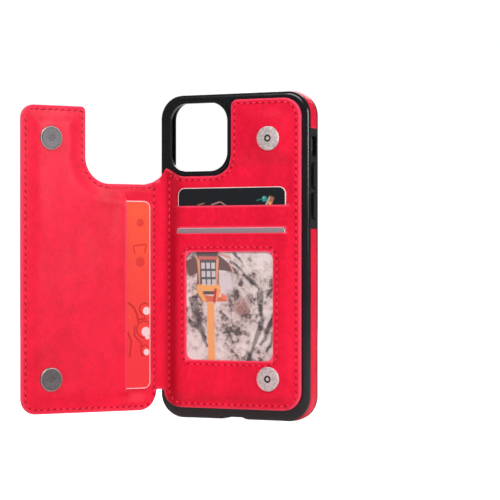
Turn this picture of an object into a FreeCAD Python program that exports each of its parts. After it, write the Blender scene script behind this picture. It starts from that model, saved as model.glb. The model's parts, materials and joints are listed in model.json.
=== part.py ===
"""Phone wallet case: a moulded shell with a leather wallet back and a folding, snapped flap.

Frame: X right as seen from the wallet side, Y from the wallet side to the screen side, Z up the case.
The origin is the middle of the face that the phone lies on. Lengths are millimetres.
Depths named *_depth are measured from the origin towards the wallet side, so y = -depth.
"""
import FreeCAD, Part
import math
import os

Vector = FreeCAD.Vector

# The phone that the case is made for, and how it fits
phone_width = 71.4
phone_height = 144.0
phone_thickness = 8.1
phone_side_gap = 0.3
phone_face_gap = 0.1

# Shell
side_wall = 1.4
back_wall = 1.2
liner_thickness = 0.4
lip_thickness = 1.1
lip_overlap = 1.3
shell_corner = 11.0
back_edge_round = 2.2
front_edge_round = 1.0
patch_recess = 0.6
patch_reach = 15.0
patch_edge = 1.0

# Openings in the shell
camera_width = 29.2
camera_height = 31.0
camera_corner = 8.5
camera_from_side = 5.8
camera_from_top = 4.1
camera_ring_wall = 1.6
camera_ring_depth = 2.5
port_width = 12.0
port_thickness = 6.0
port_notch_margin = 0.5
port_notch_depth = 1.0
port_notch_slope = 2.0
port_notch_round = 0.4
speaker_length = 10.0
speaker_thickness = 2.4
speaker_from_middle = 14.5
mute_height = 10.3
mute_thickness = 4.8
mute_from_top = 24.5

# Side buttons
button_thickness = 4.0
button_gap = 0.3
button_proud = 0.9
button_inner_gap = 0.5
volume_length = 11.8
volume_up_from_top = 38.0
volume_down_from_top = 51.4
power_length = 17.5
power_from_top = 45.6

# Leather patches on the sides, from the top of the shell
right_patch_upper_end = 16.8
right_patch_lower_start = 61.6
left_patch_upper_end = 19.0
left_patch_lower_start = 59.7

# Wallet back
plate_left_margin = 4.1
plate_right_margin = 3.3
plate_top_margin = 3.2
plate_bottom_margin = 4.8
plate_corner = 8.5
plate_camera_gap = 0.6
plate_camera_corner = 10.0
plate_tab_corner = 3.0
plate_left_rise = 3.0
hem = 1.8
board_thickness = 0.5
leather = 0.5
card_bay = 0.85
insert_bay = 0.65
film_thickness = 0.25
board_inset = 2.0

# Card and picture insert
card_width = 54.0
card_height = 85.6
card_thickness = 0.75
card_corner = 3.2
card_side_gap = 1.2
card_face_gap = 0.05
card_shown = 8.1
insert_width = 54.0
insert_thickness = 0.3
insert_shown = 2.3
insert_corner = 1.5
upper_mouth = 22.9
lower_mouth = 10.4
window_width = 43.5
window_height = 48.9
window_corner = 3.5
window_middle_x = -0.4
window_below_mouth = 8.5
window_lap = 2.0

# Magnetic snaps
snap_diameter = 11.0
snap_cap_proud = 0.8
snap_dimple = 3.4
magnet_diameter = 8.4
magnet_thickness = 1.0
washer_diameter = 9.0
washer_thickness = 0.35
rivet_diameter = 2.6
snap_clearance = 0.15
snap_from_right = 14.9
upper_snap_from_top = 18.0
lower_snap_from_bottom = 14.0
top_pad_height = 25.0
top_pad_inset = 2.0

# Spine and flap
spine_length = 5.4
fold_gap = 0.7
flap_length = 66.5
flap_top_margin = 6.6
flap_bottom_margin = 3.4
flap_spine_corner = 8.5
flap_bottom_corner = 7.0
flap_top_corner = 6.0
flap_tab_width = 31.3
flap_tab_corner = 2.0
flap_cut_corner = 12.0
flap_cut_below_plate = 3.8
flap_snap_proud = 0.5
snap_closed_gap = 0.2
pocket_leather = 0.6
flap_bay = 0.85
flap_board_thickness = 0.5
flap_pad_rise = 0.9
flap_pad_inset = 5.0
flap_mouth = 15.0
flap_card_from_spine = 2.6
flap_card_travel = 3.0
flap_card_middle = -17.6
rest_fold = 62.0

# Heights and places that follow from the sizes above
shell_width = phone_width + 2 * (phone_side_gap + side_wall)
shell_height = phone_height + 2 * (phone_side_gap + side_wall)
top = shell_height / 2
bottom = -top
right = shell_width / 2
left = -right
screen_face = phone_thickness + phone_face_gap
shell_front = screen_face + lip_thickness
shell_depth = liner_thickness + back_wall
side_middle = (back_edge_round - shell_depth + shell_front - front_edge_round) / 2

board_depth = shell_depth + board_thickness
base_depth = board_depth + leather
middle_depth = base_depth + card_bay
middle_face = middle_depth + leather
lower_depth = middle_face + insert_bay
lower_face = lower_depth + leather

camera_x = left + camera_from_side + camera_width / 2
camera_z = top - camera_from_top - camera_height / 2
plate_left = left + plate_left_margin
plate_right = right - plate_right_margin
plate_top = top - plate_top_margin
plate_bottom = bottom + plate_bottom_margin
cut_right = camera_x + camera_width / 2 + camera_ring_wall + plate_camera_gap
cut_bottom = camera_z - camera_height / 2 - camera_ring_wall - plate_camera_gap
snap_x = plate_right - snap_from_right
snap_heights = {"upper": plate_top - upper_snap_from_top, "lower": plate_bottom + lower_snap_from_bottom}

fold_x = plate_left
fold_depth = base_depth + 0.3
flap_fold_depth = fold_depth + spine_length
flap_inner = lower_face + snap_cap_proud + snap_closed_gap + flap_snap_proud
flap_pocket_back = flap_inner + pocket_leather
flap_lining = flap_pocket_back + flap_bay
flap_board_front = flap_lining + leather
flap_outer = flap_board_front + flap_board_thickness
flap_skin = flap_outer + leather
flap_top = top - flap_top_margin
flap_bottom = bottom + flap_bottom_margin
flap_right = fold_x + flap_length


def place(x, depth, z):
    return Vector(x, -depth, z)


def outline(corners):
    """A closed wire in the XZ plane through corners (x, z, radius), each rounded by a tangent arc."""
    edges = []
    starts = []
    ends = []
    middles = []
    count = len(corners)
    for i, (x, z, radius) in enumerate(corners):
        here = Vector(x, 0, z)
        before = Vector(corners[i - 1][0], 0, corners[i - 1][1]) - here
        after = Vector(corners[(i + 1) % count][0], 0, corners[(i + 1) % count][1]) - here
        before.normalize()
        after.normalize()
        half = before.getAngle(after) / 2
        run = radius / math.tan(half)
        bisector = (before + after).normalize()
        starts.append(here + before * run)
        ends.append(here + after * run)
        middles.append(here + bisector * (radius / math.sin(half) - radius))
    for i in range(count):
        edges.append(Part.Arc(starts[i], middles[i], ends[i]).toShape())
        following = starts[(i + 1) % count]
        if (following - ends[i]).Length > 1e-6:
            edges.append(Part.LineSegment(ends[i], following).toShape())
    return Part.Wire(edges)


def inset(corners, distance):
    """The same corners moved inwards by a distance; outer corners tighten and inner ones open."""
    count = len(corners)
    moved = []
    for i, (x, z, radius) in enumerate(corners):
        bx, bz = corners[i - 1][0], corners[i - 1][1]
        ax, az = corners[(i + 1) % count][0], corners[(i + 1) % count][1]
        first = Vector(x - bx, 0, z - bz).normalize()
        second = Vector(ax - x, 0, az - z).normalize()
        turn = first.x * second.z - first.z * second.x
        share = (1 - first.dot(second)) / turn
        shift = Vector(-first.z, 0, first.x) * distance - first * (distance * share)
        grown = radius - distance if turn > 0 else radius + distance
        moved.append((x + shift.x, z + shift.z, max(grown, 0.3)))
    return moved


def slab(corners, near, far):
    """A plate with the given outline between two depths."""
    face = Part.Face(outline(corners))
    face.translate(Vector(0, -near, 0))
    return face.extrude(Vector(0, near - far, 0))


def rectangle(x, z, width, height, radius):
    """Corners of an upright rectangle about a middle, anticlockwise."""
    half_w = width / 2
    half_h = height / 2
    return [
        (x - half_w, z - half_h, radius),
        (x + half_w, z - half_h, radius),
        (x + half_w, z + half_h, radius),
        (x - half_w, z + half_h, radius),
    ]


def disc(x, z, diameter, near, far):
    return Part.makeCylinder(diameter / 2, far - near, place(x, near, z), Vector(0, -1, 0))


def cross_bar(x_low, x_high, y, z, thickness, length, upright):
    """A round-ended bar for side and end holes: along X when upright is true, else along Z."""
    radius = thickness / 2
    reach = length / 2 - radius
    if upright:
        box = Part.makeBox(x_high - x_low, thickness, 2 * reach, Vector(x_low, y - radius, z - reach))
        ends = [Part.makeCylinder(radius, x_high - x_low, Vector(x_low, y, z + s * reach), Vector(1, 0, 0))
                for s in (-1, 1)]
    else:
        middle = (x_low + x_high) / 2
        box = Part.makeBox(2 * reach, thickness, 4 * side_wall, Vector(middle - reach, y - radius, z))
        ends = [Part.makeCylinder(radius, 4 * side_wall, Vector(middle + s * reach, y, z), Vector(0, 0, 1))
                for s in (-1, 1)]
    return box.fuse(ends).removeSplitter()


def box_between(x0, x1, y0, y1, z0, z1):
    return Part.makeBox(x1 - x0, y1 - y0, z1 - z0, Vector(x0, y0, z0))


def edges_at(shape, y):
    """The edges of a prism that lie wholly in the plane at y."""
    return [e for e in shape.Edges if abs(e.BoundBox.YMin - y) < 1e-4 and abs(e.BoundBox.YMax - y) < 1e-4]


shell_outline = rectangle(0, 0, shell_width, shell_height, shell_corner)
phone_outline = inset(shell_outline, side_wall)
camera_outline = rectangle(camera_x, camera_z, camera_width, camera_height, camera_corner)

port_notch_width = port_width + 2 * port_notch_margin
port_notch = [
    (-port_notch_width / 2 - port_notch_slope, bottom - port_notch_depth, port_notch_round),
    (port_notch_width / 2 + port_notch_slope, bottom - port_notch_depth, port_notch_round),
    (port_notch_width / 2 - port_notch_slope, bottom + port_notch_depth, port_notch_round),
    (port_notch_slope - port_notch_width / 2, bottom + port_notch_depth, port_notch_round),
]

patch_front = shell_front - front_edge_round - patch_edge / 2
patch_back = back_edge_round - shell_depth + patch_edge / 4
patches = {
    "patch_right_upper": (right - patch_reach, right, top - right_patch_upper_end, top),
    "patch_right_lower": (right - patch_reach, right, bottom, top - right_patch_lower_start),
    "patch_left_upper": (left, left + patch_reach, top - left_patch_upper_end, top),
    "patch_left_lower": (left, left + patch_reach, bottom, top - left_patch_lower_start),
}
buttons = {
    "volume_up_cover": (1, top - volume_up_from_top, volume_length),
    "volume_down_cover": (1, top - volume_down_from_top, volume_length),
    "power_cover": (-1, top - power_from_top, power_length),
}


def make_patch(name):
    x0, x1, z0, z1 = patches[name]
    ring = slab(shell_outline, -patch_front, -patch_back).cut(
        slab(inset(shell_outline, patch_recess), -patch_front, -patch_back))
    return ring.common(box_between(x0, x1, patch_back, patch_front, z0, z1))


def button_bar(name, gap, inner, outer):
    """The body of a button cover, or with a gap its hole: inner and outer count from the shell's side."""
    side, z, length = buttons[name]
    low, high = sorted((side * (right + inner), side * (right + outer)))
    return cross_bar(low, high, side_middle, z, button_thickness + 2 * gap, length + 2 * gap, True)


def make_shell():
    body = slab(shell_outline, -shell_front, shell_depth)
    body = body.makeFillet(back_edge_round, edges_at(body, -shell_depth))
    body = body.makeFillet(front_edge_round, edges_at(body, shell_front))
    ring = slab(inset(camera_outline, -camera_ring_wall), 0, camera_ring_depth)
    body = body.fuse(ring).removeSplitter()
    cuts = [
        slab(phone_outline, -screen_face, liner_thickness),
        slab(inset(phone_outline, lip_overlap), -shell_front - 1, -screen_face + 0.01),
        slab(camera_outline, -1, camera_ring_depth + 1),
        cross_bar(right - 3 * side_wall, right + 1, side_middle, top - mute_from_top,
                  mute_thickness, mute_height, True),
        cross_bar(-port_width, port_width, side_middle, bottom - side_wall, port_thickness, port_width, False),
        slab(port_notch, -shell_front - 1, shell_depth + 1),
    ]
    for side in (-1, 1):
        middle = side * speaker_from_middle
        cuts.append(cross_bar(middle - speaker_length, middle + speaker_length, side_middle,
                              bottom - side_wall, speaker_thickness, speaker_length, False))
    cuts += [make_patch(name) for name in patches]
    cuts += [button_bar(name, button_gap, -3 * side_wall, 1) for name in buttons]
    return body.cut(cuts)


plate_outline = [
    (plate_left, plate_bottom, plate_corner),
    (plate_right, plate_bottom, plate_corner),
    (plate_right, plate_top, plate_corner),
    (cut_right, plate_top, plate_tab_corner),
    (cut_right, cut_bottom, plate_camera_corner),
    (plate_left + plate_left_rise, cut_bottom, plate_left_rise / 2),
    (plate_left, cut_bottom + plate_left_rise, 0.8),
]
flap_cut_right = flap_right - flap_tab_width
flap_cut_bottom = cut_bottom - flap_cut_below_plate
flap_outline = [
    (fold_x, flap_bottom, flap_spine_corner),
    (flap_right, flap_bottom, flap_bottom_corner),
    (flap_right, flap_top, flap_top_corner),
    (flap_cut_right, flap_top, flap_tab_corner),
    (flap_cut_right, flap_cut_bottom, flap_cut_corner),
    (fold_x + plate_left_rise, flap_cut_bottom, plate_left_rise / 2),
    (fold_x, flap_cut_bottom + plate_left_rise, 0.8),
]
plate_core = plate_outline[:5] + [(plate_left, cut_bottom, plate_left_rise)]
flap_core = flap_outline[:5] + [(fold_x, flap_cut_bottom, flap_pad_inset + plate_left_rise)]
spine_bottom = plate_bottom + plate_corner
spine_top = flap_cut_bottom + plate_left_rise

panel_left = fold_x + hem
card_z = upper_mouth + card_shown - card_height / 2
insert_bottom_limit = snap_heights["lower"] + magnet_diameter / 2 + 2 * snap_clearance
insert_top = lower_mouth + insert_shown
insert_height = insert_top - insert_bottom_limit
window_z = lower_mouth - window_below_mouth - window_height / 2


def panel(top_z, near, far):
    """A pocket panel across the wallet back, from its bottom hem to a straight mouth."""
    whole = slab(inset(plate_outline, hem / 6), near, far)
    return whole.common(box_between(panel_left, right, -far - 1, -near + 1, bottom, top_z))


def snap_hole(level, diameter, near, far):
    return disc(snap_x, snap_heights[level], diameter + 2 * snap_clearance, near - 0.01, far + 0.01)


def make_base_panel():
    return slab(plate_outline, board_depth, base_depth).common(
        box_between(fold_x + fold_gap, right, -base_depth - 1, 0, bottom, top))


def make_back_board():
    return slab(inset(plate_core, board_inset), shell_depth, board_depth)


top_pad_corners = [
    (cut_right + top_pad_inset, plate_top - top_pad_height, 3.0),
    (plate_right - top_pad_inset, plate_top - top_pad_height, 3.0),
    (plate_right - top_pad_inset, plate_top - top_pad_inset, plate_corner - top_pad_inset),
    (cut_right + top_pad_inset, plate_top - top_pad_inset, 3.0),
]


def make_top_pad():
    pad = slab(top_pad_corners, base_depth, lower_depth)
    return pad.cut(snap_hole("upper", washer_diameter, base_depth, lower_depth))


def make_top_panel():
    skin = slab(inset(top_pad_corners, -hem / 2), lower_depth, lower_face)
    return skin.cut(snap_hole("upper", magnet_diameter, lower_depth, lower_face))


def make_upper_spacer():
    welt = panel(upper_mouth, base_depth, middle_depth)
    slot_bottom = card_z - card_height / 2
    slot = rectangle(0, (slot_bottom + top) / 2, card_width + 2 * card_side_gap, top - slot_bottom, card_corner)
    return welt.cut(slab(slot, base_depth - 1, middle_depth + 1))


def make_middle_panel():
    sheet = panel(upper_mouth, middle_depth, middle_face)
    return sheet.cut(snap_hole("lower", washer_diameter, middle_depth, middle_face))


def make_lower_spacer():
    welt = panel(lower_mouth, middle_face, lower_depth)
    slot = rectangle(0, (insert_bottom_limit + top) / 2, insert_width + 2 * card_side_gap,
                     top - insert_bottom_limit, insert_corner)
    welt = welt.cut(slab(slot, middle_face - 1, lower_depth + 1))
    return welt.cut(snap_hole("lower", magnet_diameter, middle_face, lower_depth))


def make_lower_panel():
    sheet = panel(lower_mouth, lower_depth, lower_face)
    window = rectangle(window_middle_x, window_z, window_width, window_height, window_corner)
    sheet = sheet.cut(slab(window, lower_depth - 1, lower_face + 1))
    return sheet.cut(snap_hole("lower", magnet_diameter, lower_depth, lower_face))


def make_window_film():
    film = rectangle(window_middle_x, window_z, window_width + 2 * window_lap,
                     window_height + 2 * window_lap, window_corner)
    return slab(film, lower_depth - film_thickness, lower_depth)


def make_insert():
    sheet = rectangle(0, insert_top - insert_height / 2, insert_width, insert_height, insert_corner)
    near = middle_face + card_face_gap
    return slab(sheet, near, near + insert_thickness)


def make_card():
    sheet = rectangle(0, card_z, card_width, card_height, card_corner)
    near = base_depth + card_face_gap
    return slab(sheet, near, near + card_thickness)


def make_snap_cap(z):
    """A pressed cap with a small centre dimple, and the rivet that holds the snap together."""
    cap = disc(snap_x, z, snap_diameter, lower_face, lower_face + snap_cap_proud)
    rim = [e for e in cap.Edges if abs(e.BoundBox.YMax + lower_face + snap_cap_proud) < 1e-4]
    cap = cap.makeFillet(snap_cap_proud / 2, rim)
    cap = cap.cut(disc(snap_x, z, snap_dimple, lower_face + snap_cap_proud / 2, lower_face + 2 * snap_cap_proud))
    rivet = disc(snap_x, z, rivet_diameter, middle_depth + washer_thickness, lower_face)
    return cap.fuse(rivet).removeSplitter()


def make_magnet(z):
    far = lower_face - snap_clearance / 3
    body = disc(snap_x, z, magnet_diameter, far - magnet_thickness, far)
    return body.cut(disc(snap_x, z, rivet_diameter + 2 * snap_clearance, 0, flap_skin))


def make_washer(z):
    return disc(snap_x, z, washer_diameter, middle_depth, middle_depth + washer_thickness)


def make_cover(name):
    return button_bar(name, 0, -side_wall + button_inner_gap, button_proud)


def opened(shape):
    """A piece of the flap, moved from its closed place to its place at rest."""
    moved = shape.copy()
    moved.rotate(place(fold_x, flap_fold_depth, 0), Vector(0, 0, 1), -rest_fold)
    moved.rotate(place(fold_x, fold_depth, 0), Vector(0, 0, 1), -rest_fold)
    return moved


def turned(shape):
    """A piece of the spine, moved from its closed place to its place at rest."""
    moved = shape.copy()
    moved.rotate(place(fold_x, fold_depth, 0), Vector(0, 0, 1), -rest_fold)
    return moved


def spine_strip(x0, x1):
    near = -(fold_depth + fold_gap)
    far = -(flap_fold_depth - fold_gap)
    return turned(box_between(x0, x1, far, near, spine_bottom, spine_top))


def flap_sheet(distance, near, far, start=fold_gap):
    """A layer of the flap, cut clear of the fold."""
    corners = flap_outline if distance < hem else flap_core
    whole = slab(inset(corners, distance), near, far)
    return whole.common(box_between(fold_x + start, right, -far - 1, -near + 1, bottom, top))


def make_flap_outer():
    skin = flap_sheet(0, flap_outer, flap_skin)
    pad = slab(inset(flap_core, flap_pad_inset), flap_skin, flap_skin + flap_pad_rise)
    hollow = slab(inset(flap_core, flap_pad_inset + leather), flap_outer - 1, flap_outer + flap_pad_rise)
    return opened(skin.fuse(pad).removeSplitter().cut(hollow))


def make_flap_foam():
    foam = slab(inset(flap_core, flap_pad_inset + leather), flap_outer, flap_outer + flap_pad_rise)
    return opened(foam)


flap_card_x = fold_x + flap_card_from_spine + card_width / 2
flap_slot = rectangle(
    (fold_x + flap_card_x + card_width / 2 + flap_card_travel + card_side_gap) / 2 - 10, flap_card_middle,
    flap_card_x + card_width / 2 + flap_card_travel + card_side_gap - fold_x + 20,
    card_height + 2 * card_side_gap, card_corner)


def make_flap_spacer():
    welt = flap_sheet(hem / 6, flap_pocket_back, flap_lining, flap_mouth)
    return opened(welt.cut(slab(flap_slot, flap_pocket_back - 1, flap_lining + 1)))


def make_flap_pocket():
    sheet = flap_sheet(hem / 6, flap_inner, flap_pocket_back, flap_mouth)
    for z in snap_heights.values():
        sheet = sheet.cut(disc(snap_x, z, rivet_diameter + 2 * snap_clearance, flap_inner - 1, flap_pocket_back + 1))
        sheet = sheet.cut(disc(snap_x, z, washer_diameter + 2 * snap_clearance,
                               flap_pocket_back - washer_thickness, flap_pocket_back + 1))
    return opened(sheet)


def make_flap_cap(z):
    front = flap_inner - flap_snap_proud
    cap = disc(snap_x, z, snap_diameter, front, flap_inner)
    rim = [e for e in cap.Edges if abs(e.BoundBox.YMin + front) < 1e-4]
    cap = cap.makeFillet(flap_snap_proud / 2, rim)
    cap = cap.cut(disc(snap_x, z, snap_dimple, front - 1, front + flap_snap_proud / 2))
    rivet = disc(snap_x, z, rivet_diameter, flap_inner, flap_pocket_back - washer_thickness)
    return opened(cap.fuse(rivet).removeSplitter())


def make_flap_washer(z):
    return opened(disc(snap_x, z, washer_diameter, flap_pocket_back - washer_thickness, flap_pocket_back))


def make_flap_card():
    sheet = rectangle(flap_card_x, flap_card_middle, card_width, card_height, card_corner)
    near = flap_pocket_back + card_face_gap
    return opened(slab(sheet, near, near + card_thickness))


liner_outline = inset(phone_outline, lip_overlap + 1.0)
parts = {
    "shell": make_shell(),
    "seat_liner": slab(liner_outline, 0, liner_thickness).cut(
        slab(inset(camera_outline, -camera_ring_wall), -1, liner_thickness + 1)),
    "back_board": make_back_board(),
    "base_panel": make_base_panel(),
    "top_pad": make_top_pad(),
    "top_panel": make_top_panel(),
    "upper_spacer": make_upper_spacer(),
    "middle_panel": make_middle_panel(),
    "lower_spacer": make_lower_spacer(),
    "lower_panel": make_lower_panel(),
    "window_film": make_window_film(),
    "picture_insert": make_insert(),
    "card_upper": make_card(),
    "spine_leather": spine_strip(fold_x - leather, fold_x),
    "spine_lining": spine_strip(fold_x, fold_x + leather),
    "flap_outer_leather": make_flap_outer(),
    "flap_foam": make_flap_foam(),
    "flap_board": opened(flap_sheet(board_inset, flap_board_front, flap_outer, board_inset)),
    "flap_inner_leather": opened(flap_sheet(0, flap_lining, flap_board_front)),
    "flap_spacer": make_flap_spacer(),
    "flap_pocket_panel": make_flap_pocket(),
    "flap_card": make_flap_card(),
}
for patch_name in patches:
    parts[patch_name] = make_patch(patch_name)
for cover_name in buttons:
    parts[cover_name] = make_cover(cover_name)
for level, height in snap_heights.items():
    parts[f"snap_{level}_cap"] = make_snap_cap(height)
    parts[f"snap_{level}_magnet"] = make_magnet(height)
    parts[f"snap_{level}_washer"] = make_washer(height)
    parts[f"flap_snap_{level}_cap"] = make_flap_cap(height)
    parts[f"flap_snap_{level}_washer"] = make_flap_washer(height)

os.makedirs("parts", exist_ok=True)
for name, shape in parts.items():
    solids = shape.Solids
    if not solids or not shape.isValid():
        raise RuntimeError(f"{name} did not build")
    result = solids[0] if len(solids) == 1 else Part.makeCompound(solids)
    result.exportStep(f"parts/{name}.step")
    box = result.BoundBox
    print(f"{name:22s} solids {len(solids)} volume {result.Volume:8.1f} "
          f"x {box.XMin:6.1f} {box.XMax:6.1f} y {box.YMin:6.1f} {box.YMax:6.1f} z {box.ZMin:6.1f} {box.ZMax:6.1f}")
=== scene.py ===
"""Phone wallet case: leather skins, stitching, snaps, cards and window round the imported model.

The leather is laid out flat, with the flap fully open, and then folded at its two creases.
Flat layout: x and z lie in the sheet, depth grows towards the wallet side, so y = -depth. It is in
millimetres until a piece is finished, and then goes to metres.
"""
import json
import math

import bmesh
import bpy
import numpy as np
from mathutils import Matrix, Vector


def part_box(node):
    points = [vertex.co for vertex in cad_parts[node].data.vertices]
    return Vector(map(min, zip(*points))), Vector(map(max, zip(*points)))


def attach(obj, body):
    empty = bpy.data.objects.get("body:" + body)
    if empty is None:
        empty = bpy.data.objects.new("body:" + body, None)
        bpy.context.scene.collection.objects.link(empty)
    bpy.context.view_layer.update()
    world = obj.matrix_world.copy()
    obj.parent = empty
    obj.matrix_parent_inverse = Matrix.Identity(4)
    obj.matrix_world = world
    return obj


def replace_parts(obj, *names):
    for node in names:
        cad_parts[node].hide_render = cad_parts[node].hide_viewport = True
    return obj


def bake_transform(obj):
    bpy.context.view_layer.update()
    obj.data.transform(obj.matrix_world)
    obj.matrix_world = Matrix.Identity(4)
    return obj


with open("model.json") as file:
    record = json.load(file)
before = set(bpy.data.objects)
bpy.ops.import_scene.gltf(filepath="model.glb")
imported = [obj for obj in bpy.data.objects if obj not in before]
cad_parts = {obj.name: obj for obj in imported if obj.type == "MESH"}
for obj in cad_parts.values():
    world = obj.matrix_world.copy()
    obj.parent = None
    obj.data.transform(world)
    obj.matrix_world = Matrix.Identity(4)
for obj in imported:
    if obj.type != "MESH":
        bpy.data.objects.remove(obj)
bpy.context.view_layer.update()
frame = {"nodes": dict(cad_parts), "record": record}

MM = 0.001
joints = {joint["name"]: joint for joint in frame["record"]["behaviour"]["joints"]}


def node_box(node):
    """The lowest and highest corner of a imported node, in millimetres."""
    low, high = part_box(node)
    return low / MM, high / MM


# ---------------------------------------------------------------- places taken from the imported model
shell_high = node_box("shell")[1]
plate_low, plate_high = node_box("base_panel")
card_low, card_high = node_box("card_upper")
insert_low, insert_high = node_box("picture_insert")
film_low, film_high = node_box("window_film")

shell_half_width = shell_high.x
shell_half_height = shell_high.z
shell_corner = 11.0
base_face = -plate_low.y
middle_face = -node_box("middle_panel")[0].y
lower_face = -node_box("lower_panel")[0].y
back_face = -node_box("back_board")[1].y
upper_mouth = node_box("middle_panel")[1].z
lower_mouth = node_box("lower_panel")[1].z
snap_middle = {level: (sum(node_box(f"snap_{level}_cap"), Vector()) / 2) for level in ("upper", "lower")}

fold_one = Vector(joints["spine_fold"]["pos_m"]) / MM
fold_two_rest = Vector(joints["flap_fold"]["pos_m"]) / MM
fold_x = fold_one.x
fold_depth = -fold_one.y
spine_length = (fold_two_rest - fold_one).length
crease_angle = math.radians(-joints["spine_fold"]["range_deg"][0])
flap_x = fold_x - spine_length
spine_middle = fold_x - spine_length / 2

# ---------------------------------------------------------------- leather sizes
plate_right = plate_high.x
plate_top = plate_high.z
plate_bottom = plate_low.z
plate_corner = 8.5
cut_right = node_box("top_pad")[0].x - 2.0
cut_bottom = 36.4
cut_corner = 10.0
hem_depth = 3.7
raised_card_hem = 2.34
spine_front = 3.3
spine_back = 2.35
sheet = 0.55
stitch_inset = 1.9
stitch_pitch = 3.1
stitch_groove = 0.14
stitch_groove_width = 0.55
roll_width = 0.85
roll_drop = 0.5
crease_width = 3.0
peak_z = 40.4
spine_foot = -60.9
notch_lap = 0.9
spine_top = 36.2
card_half = card_high.x
slit_half = card_half + 1.6
slot_half = card_half + 0.1
slit_gap = 0.12
insert_top = insert_high.z

flap_length = 66.5
flap_left = flap_x - flap_length
flap_top = node_box("flap_outer_leather")[1].z
flap_bottom = node_box("flap_outer_leather")[0].z
flap_tab_x = flap_left + 31.3
flap_cut_bottom = 32.7
flap_slit_x = flap_x - 15.0
flap_slit_low = -61.2
flap_slit_high = 26.0
flap_seam_shift = 1.5
flap_hem_front = 3.85
flap_hem_back = 1.95
flap_lining_face = 3.15
flap_pocket_face = 4.55
flap_pad_back = 0.85

window_half_width = (film_high.x - film_low.x) / 2 - 2.0
window_half_height = (film_high.z - film_low.z) / 2 - 2.0
window_middle = Vector(((film_low.x + film_high.x) / 2, 0, (film_low.z + film_high.z) / 2))
window_corner = 3.5


# ---------------------------------------------------------------- small helpers
def smooth(value):
    """An S curve from 0 to 1, for a number or an array."""
    value = np.clip(value, 0.0, 1.0)
    return value * value * (3 - 2 * value)


def mix(low, high, share):
    return low + (high - low) * share


def polygon(bm, corners):
    """An upright face at y = 0 through corners (x, z, radius), each rounded to its radius."""
    verts = [bm.verts.new((x, 0, z)) for x, z, _ in corners]
    bm.faces.new(verts)
    count = len(corners)
    for i, (x, z, radius) in enumerate(corners):
        if radius <= 0:
            continue
        here = Vector((x, z))
        before = (Vector(corners[i - 1][:2]) - here).normalized()
        after = (Vector(corners[(i + 1) % count][:2]) - here).normalized()
        run = radius / math.tan(before.angle(after) / 2)
        steps = max(3, min(14, int(radius * 1.6)))
        bmesh.ops.bevel(bm, geom=[verts[i]], offset=run, offset_type="OFFSET", affect="VERTICES",
                        segments=steps, profile=0.5, material=-1)
    return bm.faces[:]


def outline_loop(corners):
    """The points (x, z) of a rounded outline, in order."""
    bm = bmesh.new()
    polygon(bm, corners)
    bm.faces.ensure_lookup_table()
    loop = np.array([(v.co.x, v.co.z) for v in bm.faces[0].verts])
    bm.free()
    return loop


def edge_distance(points, loop):
    """How far each (x, z) point lies inside a closed outline; negative outside."""
    best = np.full(len(points), 1e9)
    inside = np.zeros(len(points), bool)
    for a, b in zip(loop, np.roll(loop, -1, axis=0)):
        along = b - a
        length = max(float(along @ along), 1e-12)
        share = np.clip(((points - a) @ along) / length, 0, 1)
        best = np.minimum(best, np.linalg.norm(points - a - share[:, None] * along, axis=1))
        crosses = (a[1] > points[:, 1]) != (b[1] > points[:, 1])
        rise = b[1] - a[1] if abs(b[1] - a[1]) > 1e-12 else 1e-12
        inside ^= crosses & (points[:, 0] < a[0] + (points[:, 1] - a[1]) * along[0] / rise)
    return np.where(inside, best, -best)


def slice_grid(bm, step):
    """Cuts every face along an even grid, so that the sheet can take a shape."""
    xs = [v.co.x for v in bm.verts]
    zs = [v.co.z for v in bm.verts]
    for low, high, normal in ((min(xs), max(xs), (1, 0, 0)), (min(zs), max(zs), (0, 0, 1))):
        count = int((high - low) / step)
        for i in range(1, count + 1):
            place = low + (high - low) * i / (count + 1)
            bmesh.ops.bisect_plane(bm, geom=bm.verts[:] + bm.edges[:] + bm.faces[:], dist=1e-4,
                                   plane_co=Vector(normal) * place, plane_no=normal)


def thicken(bm, shift):
    """Extrudes every face of a flat shape and moves the far side by shift."""
    grown = bmesh.ops.extrude_face_region(bm, geom=bm.faces[:])
    far_side = [item for item in grown["geom"] if isinstance(item, bmesh.types.BMVert)]
    bmesh.ops.translate(bm, vec=shift, verts=far_side)


def linked_object(name, bm):
    """An object in the scene from a bmesh, which is used up."""
    mesh = bpy.data.meshes.new(name)
    bm.to_mesh(mesh)
    bm.free()
    piece = bpy.data.objects.new(name, mesh)
    bpy.context.scene.collection.objects.link(piece)
    return piece


def new_object(name, bm, materials, smooth_angle=38.0):
    """A finished piece from a bmesh in millimetres."""
    bmesh.ops.scale(bm, vec=(MM, MM, MM), verts=bm.verts)
    piece = linked_object(name, bm)
    mesh = piece.data
    for material in materials:
        mesh.materials.append(material)
    for face in mesh.polygons:
        face.use_smooth = True
    mesh.set_sharp_from_angle(angle=math.radians(smooth_angle))
    return piece


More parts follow.
